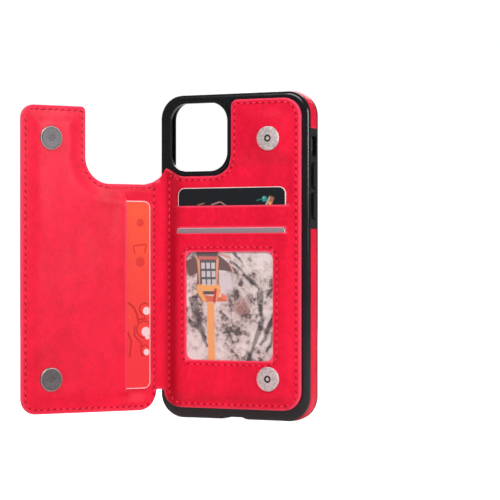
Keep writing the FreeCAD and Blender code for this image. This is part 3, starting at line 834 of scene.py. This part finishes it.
def wallet_edge_lightening(points, on_front):
    # Painted edge highlight along the rolled outer rim, and lighter lips round the slits and window: partly
    # the cut edges' own colour, partly painted highlight.
    rim = 0.75 * np.clip(1 - edge_distance(points, wallet_loop) / 1.1, 0, 1)
    mouths = np.maximum(slit_rim_mask(points, 0, upper_mouth, slit_half, slit_gap, 0.6),
                        slit_rim_mask(points, 0, (lower_mouth + insert_top) / 2, slot_half,
                                  (insert_top - lower_mouth) / 2, 0.6))
    window = slit_rim_mask(points, window_middle.x, window_middle.z, window_half_width, window_half_height, 0.6)
    return np.maximum(rim, np.maximum(mouths * (points[:, 1] < upper_mouth + 0.3), window) * on_front)


def box_corners(middle_x, middle_z, half_x, half_z, radius):
    return [(middle_x - half_x, middle_z - half_z, radius), (middle_x + half_x, middle_z - half_z, radius),
            (middle_x + half_x, middle_z + half_z, radius), (middle_x - half_x, middle_z + half_z, radius)]


through = 2
half_way = 0.5
window_hole = box_corners(window_middle.x, window_middle.z, window_half_width, window_half_height,
                          window_corner)
picture_slot = box_corners(0, (lower_mouth + insert_top) / 2, slot_half, (insert_top - lower_mouth) / 2, 1.0)
wallet_cutters = [(box_corners(0, upper_mouth, slit_half, slit_gap / 2, 0), through),
                  (picture_slot, through), (window_hole, through)]
wallet = leather_piece("wallet_leather", wallet_outline, wallet_cutters, wallet_front, wallet_back,
                       wallet_edge_lightening)
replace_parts(wallet, "base_panel", "top_pad", "top_panel", "upper_spacer", "middle_panel", "lower_spacer",
            "lower_panel", "spine_leather", "spine_lining")
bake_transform(wallet)


# ---------------------------------------------------------------- the flap
def flap_front(points):
    """Depth of the flap's inner face, with its pocket on the free side of an upright slit."""
    x, z = points[:, 0], points[:, 1]
    edge = edge_distance(points, flap_loop)
    beside = smooth((flap_slit_low - z + 1.0) / 4.0) + smooth((z - flap_slit_high + 1.0) / 4.0)
    sharp = np.where(x < flap_slit_x, flap_pocket_face, flap_lining_face)
    eased = mix(flap_lining_face, flap_pocket_face, smooth((flap_slit_x + 4.0 - x) / 14.0))
    level = mix(sharp, eased, np.clip(beside, 0, 1))
    puff = np.sin(x * 0.13 + 1.2) * np.sin(z * 0.06) + 0.5 * np.sin(x * 0.09 - z * 0.14)
    level = level + 0.12 * puff * smooth((edge - 6.0) / 6.0) * smooth((flap_slit_x + 1.0 - x) / 5.0)
    depth = mix(flap_hem_front, level, smooth((edge - 2.6) / 6.5))
    depth = mix(depth, spine_front, smooth((x - flap_x + 1.2) / 1.6))
    spine_channel = 0.18 * np.exp(-((x - flap_x + stitch_inset - flap_seam_shift) / 0.6) ** 2)
    return depth - rolled(edge) - stitch_channel(edge) * (x < flap_x - 1.0) - spine_channel


def flap_back(points):
    """Depth of the flap's outer face: a hem, a pressed groove and a padded middle."""
    edge = edge_distance(points, flap_loop)
    edge = np.minimum(edge, np.maximum(flap_x + flap_seam_shift - points[:, 0], 0))
    depth = flap_hem_back + 0.10 * smooth((edge - 2.6) / 0.6)
    depth = mix(depth, flap_pad_back + 0.30, smooth((edge - 3.1) / 2.0))
    depth = mix(depth, flap_pad_back, smooth((edge - 4.6) / 10.0))
    depth = mix(depth, spine_back, smooth((points[:, 0] - flap_x + 1.4) / 1.8))
    return depth + 0.6 * rolled(edge_distance(points, flap_loop)) + stitch_channel(edge)


def flap_edge_lightening(points, on_front):
    # Painted edge highlight along the rolled outer rim, and a lighter lip on the pocket slit: partly its cut
    # edge's own colour, partly painted highlight.
    rim = 0.75 * np.clip(1 - edge_distance(points, flap_loop) / 1.1, 0, 1)
    middle = (flap_slit_low + flap_slit_high) / 2
    mouth = slit_rim_mask(points, flap_slit_x, middle, slit_gap, (flap_slit_high - flap_slit_low) / 2, 0.6)
    return np.maximum(rim, 0.5 * mouth * (points[:, 0] < flap_slit_x + 0.1) * on_front)


flap_cutters = [(box_corners(flap_slit_x, (flap_slit_low + flap_slit_high) / 2, slit_gap / 2,
                             (flap_slit_high - flap_slit_low) / 2, 0), half_way)]
flap = leather_piece("flap_leather", flap_outline, flap_cutters, flap_front, flap_back, flap_edge_lightening)
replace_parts(flap, "flap_outer_leather", "flap_foam", "flap_board", "flap_inner_leather", "flap_spacer",
            "flap_pocket_panel")
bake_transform(flap)


# ---------------------------------------------------------------- stitching
def inset_corners(corners, inset):
    """The corners of an outline moved inwards by a set distance, with their radii to match."""
    flat = np.array([c[:2] for c in corners])
    area = np.sum(flat[:, 0] * np.roll(flat[:, 1], -1) - np.roll(flat[:, 0], -1) * flat[:, 1])
    side = 1 if area > 0 else -1
    moved = []
    count = len(corners)
    for i, (x, z, radius) in enumerate(corners):
        here = np.array((x, z))
        before = here - flat[i - 1]
        after = flat[(i + 1) % count] - here
        before = before / np.linalg.norm(before)
        after = after / np.linalg.norm(after)
        in_before = side * np.array((-before[1], before[0]))
        in_after = side * np.array((-after[1], after[0]))
        shift = (in_before + in_after) / max(1 + float(in_before @ in_after), 0.2)
        turns_in = side * (before[0] * after[1] - before[1] * after[0]) > 0
        new_radius = max(0.8, radius - inset) if turns_in else radius + inset
        moved.append((*(here + shift * inset), new_radius))
    return moved


def walk(loop, pitch):
    """Evenly spaced points round a closed loop, each with its direction."""
    ends = np.roll(loop, -1, axis=0)
    lengths = np.linalg.norm(ends - loop, axis=1)
    starts = np.concatenate(([0], np.cumsum(lengths)))
    count = max(1, round(starts[-1] / pitch))
    for i in range(count):
        place = starts[-1] * (i + 0.5) / count
        k = min(int(np.searchsorted(starts, place, side="right")) - 1, len(loop) - 1)
        way = (ends[k] - loop[k]) / max(lengths[k], 1e-9)
        yield loop[k] + way * (place - starts[k]), way


def bead(width, height, length, segments, rings, colour_slot):
    """A small closed bead that stands for one stitch or one needle hole."""
    bm = bmesh.new()
    stretch = Matrix.Diagonal((length, width, height, 1)) @ Matrix.Rotation(math.pi / 2, 4, "Y")
    bmesh.ops.create_uvsphere(bm, u_segments=segments, v_segments=rings, radius=1, matrix=stretch)
    for face in bm.faces:
        face.material_index = colour_slot
    mesh = bpy.data.meshes.new("bead")
    bm.to_mesh(mesh)
    bm.free()
    return mesh


def sew(name, lines, folded):
    """A run of stitches and needle holes; lines are (loop, depth function, which way it faces)."""
    bm = bmesh.new()
    tilt = math.radians(11)
    stitch = bead(0.26, 0.31, 0.95, 8, 6, 0)
    hole = bead(0.06, 0.40, 0.50, 6, 4, 1)
    for loop, face, outward in lines:
        places = list(walk(loop, stitch_pitch))
        spots = np.array([place for place, _ in places])
        for (place, way), depth in zip(places, face(spots)):
            across = Vector((0, -outward, 0))
            along = (Matrix.Rotation(tilt * outward, 3, "Y") @ Vector((way[0], 0, way[1]))).normalized()
            turn = Matrix((along, across, along.cross(across))).transposed().to_4x4()
            middle = Vector((place[0], -depth - outward * 0.10, place[1]))
            sunk = Vector((0, outward * 0.07, 0))
            for shape, spot in ((stitch, middle), (hole, middle + sunk + along * 1.22),
                                (hole, middle + sunk - along * 1.22)):
                where = Matrix.Translation(spot) @ turn
                shape.transform(where)
                bm.from_mesh(shape)
                shape.transform(where.inverted())
    if folded:
        fold_mesh(bm)
    piece = new_object(name, bm, [thread, needle_hole], smooth_angle=80.0)
    return piece


plate_stitches = outline_loop(inset_corners(plate_outline, stitch_inset))
window_stitches = outline_loop(box_corners(window_middle.x, window_middle.z, window_half_width + 2.0,
                                           window_half_height + 2.0, window_corner + 1.6))
wallet_sewing = sew("wallet_stitching",
                    [(plate_stitches, wallet_front, 1), (window_stitches, wallet_front, 1)], False)
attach(wallet_sewing, "case")
flap_stitches = outline_loop(inset_corners(flap_plate, stitch_inset))
flap_sewing = sew("flap_stitching", [(flap_stitches, flap_front, 1), (flap_stitches, flap_back, -1)], True)
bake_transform(flap_sewing)


# ---------------------------------------------------------------- side patches
patch_low, patch_high = node_box("patch_right_upper")


def patch(name, side, up, reach_z, reach_x):
    """A thin padded leather patch that runs down one side of the shell and round its corner."""
    straight = abs(up * (shell_half_height - shell_corner) - reach_z)
    corner = shell_corner * math.pi / 2
    length = straight + corner + (shell_half_width - shell_corner - reach_x)
    width = patch_high.y - patch_low.y
    bm = bmesh.new()
    bmesh.ops.create_grid(bm, x_segments=max(24, int(length / 0.9)), y_segments=12, size=0.5)
    thicken(bm, (0, 0, 1))
    bm.verts.ensure_lookup_table()
    for vert in bm.verts:
        s = (vert.co.x + 0.5) * length
        across = (vert.co.y + 0.5) * width
        edge = min(s, length - s, across, width - across)
        proud = mix(-0.16, 0.20, float(smooth(edge / 1.1))) if vert.co.z > 0.5 else -0.5
        if s < straight:
            out = Vector((1, 0, 0))
            place = Vector((shell_half_width, 0, reach_z * up + s))
        elif s < straight + corner:
            turn = (s - straight) / shell_corner
            out = Vector((math.cos(turn), 0, math.sin(turn)))
            place = Vector((shell_half_width - shell_corner, 0, shell_half_height - shell_corner))
            place = place + out * shell_corner
        else:
            out = Vector((0, 0, 1))
            beyond = s - straight - corner
            place = Vector((shell_half_width - shell_corner - beyond, 0, shell_half_height))
        place = place + out * proud
        vert.co = Vector((place.x * side, patch_low.y + across, place.z * up))
    bmesh.ops.recalc_face_normals(bm, faces=bm.faces)
    piece = new_object(name, bm, [leather])
    mark(piece, "edge_wear_and_highlight", np.zeros(len(piece.data.vertices)))
    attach(piece, "case")
    return piece


for side_name, side in (("right", 1), ("left", -1)):
    for level, up in (("upper", 1), ("lower", -1)):
        node = f"patch_{side_name}_{level}"
        low, high = node_box(node)
        reach_z = low.z if up > 0 else high.z
        reach_x = low.x if side > 0 else -high.x
        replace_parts(patch(f"leather_{node}", side, up, reach_z, reach_x), node)


# ---------------------------------------------------------------- snaps
def snap(name, middle, faces, profile, materials, band, node, body, place=None):
    """A turned snap face, spun from a profile (radius, height); a band of radii takes the second material."""
    bm = bmesh.new()
    verts = [bm.verts.new((radius, -height, 0)) for radius, height in profile]
    for a, b in zip(verts, verts[1:]):
        bm.edges.new((a, b))
    bmesh.ops.spin(bm, geom=bm.verts[:] + bm.edges[:], cent=(0, 0, 0), axis=(0, 1, 0), angle=math.tau,
                   steps=64, use_merge=True)
    bmesh.ops.remove_doubles(bm, verts=bm.verts, dist=1e-5)
    bmesh.ops.recalc_face_normals(bm, faces=bm.faces)
    for face in bm.faces:
        centre = face.calc_center_median()
        in_band = band[0] < math.hypot(centre.x, centre.z) < band[1]
        face.material_index = 1 if in_band and centre.y < -0.1 else 0
    bmesh.ops.translate(bm, vec=(middle[0], -faces, middle[1]), verts=bm.verts)
    if place:
        place(bm)
    piece = new_object(name, bm, materials, smooth_angle=18.0)
    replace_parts(piece, node)
    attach(piece, body)
    return piece


body_profile = [(0, 0.66), (0.80, 0.66), (0.95, 0.44), (1.20, 0.38), (1.48, 0.44), (1.66, 0.78), (2.0, 0.80),
                (5.0, 0.80), (5.25, 0.74), (5.42, 0.56), (5.5, 0.0), (0, 0.0)]
flap_profile = [(0, 0.50), (0.45, 0.50), (0.62, 0.38), (1.20, 0.38), (1.38, 0.54), (1.7, 0.57), (4.5, 0.60),
                (4.65, 0.54), (4.8, 0.60), (5.1, 0.56), (5.35, 0.30), (5.4, -0.2), (0, -0.2)]
flap_snap_x = flap_x - 52.5
for level in ("upper", "lower"):
    where = snap_middle[level]
    snap(f"snap_{level}_face", (where.x, where.z), lower_face, body_profile, [nickel, tarnish], (0.85, 1.62),
         f"snap_{level}_cap", "case")
    # The flap snaps' rim band takes the painted highlight metal.
    snap(f"flap_snap_{level}_face", (flap_snap_x, where.z), flap_pocket_face, flap_profile,
         [dark_nickel, painted_highlight_rim_nickel], (4.75, 5.3), f"flap_snap_{level}_cap", "flap", fold_mesh)


# ---------------------------------------------------------------- cards, picture and film
def card(name, low, high, corner, face, edge, node, body, folded=False, margin=0.3):
    """A printed card from its lowest and highest corner in the flat layout (x, depth, z)."""
    bm = bmesh.new()
    faces = polygon(bm, box_corners((low[0] + high[0]) / 2, (low[2] + high[2]) / 2, (high[0] - low[0]) / 2,
                                    (high[2] - low[2]) / 2, corner))
    bmesh.ops.inset_region(bm, faces=faces, thickness=margin, use_even_offset=True, use_boundary=True)
    thicken(bm, (0, high[1] - low[1], 0))
    bmesh.ops.translate(bm, vec=(0, -high[1], 0), verts=bm.verts)
    bmesh.ops.recalc_face_normals(bm, faces=bm.faces)
    for item in bm.faces:
        item.material_index = 0 if len(item.verts) > 4 else 1
    rims = [e for e in bm.edges if e.calc_face_angle(0) > 1.2]
    bmesh.ops.bevel(bm, geom=rims, offset=0.12, offset_type="OFFSET", segments=3, profile=0.5, affect="EDGES",
                    material=-1, clamp_overlap=True)
    flat = np.array([v.co for v in bm.verts])
    if folded:
        fold_mesh(bm)
    piece = new_object(name, bm, [face, edge], smooth_angle=50.0)
    mark(piece, "card_x", flat[:, 0])
    mark(piece, "card_z", flat[:, 2])
    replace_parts(piece, node)
    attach(piece, body)
    return piece


card_corner = 3.2
card("upper_card", (card_low.x, -card_high.y, card_low.z), (card_high.x, -card_low.y, card_high.z),
     card_corner, black_card, card_core, "card_upper", "card_in_upper_slot")
card("window_picture", (insert_low.x, -insert_high.y, insert_low.z),
     (insert_high.x, -insert_low.y, insert_high.z), 1.2, picture_print, card_core, "picture_insert",
     "picture", margin=0.12)
card("pocket_card", (card_side - 54.0, 3.2, -60.4), (card_side, 3.95, 25.2), card_corner, orange_card,
     orange_core, "flap_card", "card_in_flap", folded=True, margin=0.45)

# ---------------------------------------------------------------- carried-over pieces
finishes = {"shell": shell_plastic, "seat_liner": lining, "back_board": board, "window_film": film}
for level in ("upper", "lower"):
    finishes[f"snap_{level}_magnet"] = magnet_metal
    finishes[f"snap_{level}_washer"] = nickel
    finishes[f"flap_snap_{level}_washer"] = nickel
for node in ("volume_up_cover", "volume_down_cover", "power_cover"):
    finishes[node] = shell_plastic
for node, material in finishes.items():
    mesh = frame["nodes"][node].data
    mesh.materials.clear()
    mesh.materials.append(material)

# ---------------------------------------------------------------- floor and light
floor_material, floor_tree, floor_shader = new_material(
    "pale_floor", Base_Color=(0.88, 0.88, 0.88, 1), Roughness=0.9, Emission_Color=(1, 1, 1, 1))
seen = add(floor_tree, "ShaderNodeLightPath").outputs["Is Camera Ray"]
floor_tree.links.new(math_node(floor_tree, "MULTIPLY", seen, 0.90), floor_shader.inputs["Emission Strength"])
floor_gap = 0.2
floor_bm = bmesh.new()
bmesh.ops.create_grid(floor_bm, x_segments=1, y_segments=1, size=6000)
bmesh.ops.translate(floor_bm, vec=(0, 0, -shell_half_height - floor_gap), verts=floor_bm.verts)
floor = new_object("floor", floor_bm, [floor_material])

world = bpy.data.worlds.new("studio")
bpy.context.scene.world = world
world.use_nodes = True
sky_tree = world.node_tree
sky = sky_tree.nodes["Background"]
sky.inputs["Color"].default_value = (1, 1, 1, 1)
in_view = add(sky_tree, "ShaderNodeLightPath").outputs["Is Camera Ray"]
sky_tree.links.new(math_node(sky_tree, "MULTIPLY_ADD", in_view, 0.84, 0.18), sky.inputs["Strength"])
bpy.context.scene.view_settings.view_transform = "Standard"


def softbox(name, place, aim, size, watts):
    light = bpy.data.lights.new(name, "AREA")
    light.shape = "RECTANGLE"
    light.size = size[0]
    light.size_y = size[1]
    light.energy = watts
    lamp = bpy.data.objects.new(name, light)
    lamp.location = place
    lamp.rotation_euler = (Vector(aim) - Vector(place)).to_track_quat("-Z", "Y").to_euler()
    bpy.context.scene.collection.objects.link(lamp)


softbox("key_softbox", (-0.05, -0.70, 0.85), (0, 0, 0.03), (0.7, 0.5), 8.6)
softbox("side_softbox", (0.66, -0.16, 0.19), (0, 0, 0.03), (0.14, 0.26), 2.5)
softbox("back_softbox", (-0.35, 0.9, 0.6), (0, 0, 0), (0.8, 0.6), 5.5)

# ---------------------------------------------------------------- camera
aim = Vector((0.0028, 0, -0.0024))
azimuth = math.radians(26)
camera_distance = 0.9
camera = bpy.data.objects.new("camera", bpy.data.cameras.new("camera"))
camera.location = aim + Vector((math.sin(azimuth), -math.cos(azimuth), 0)) * camera_distance
camera.rotation_euler = (aim - camera.location).to_track_quat("-Z", "Y").to_euler()
camera.data.sensor_width = 36
camera.data.lens = 143.5
camera.data.shift_x = 0.02
camera.data.shift_y = 0.0228
bpy.context.scene.collection.objects.link(camera)
bpy.context.scene.camera = camera
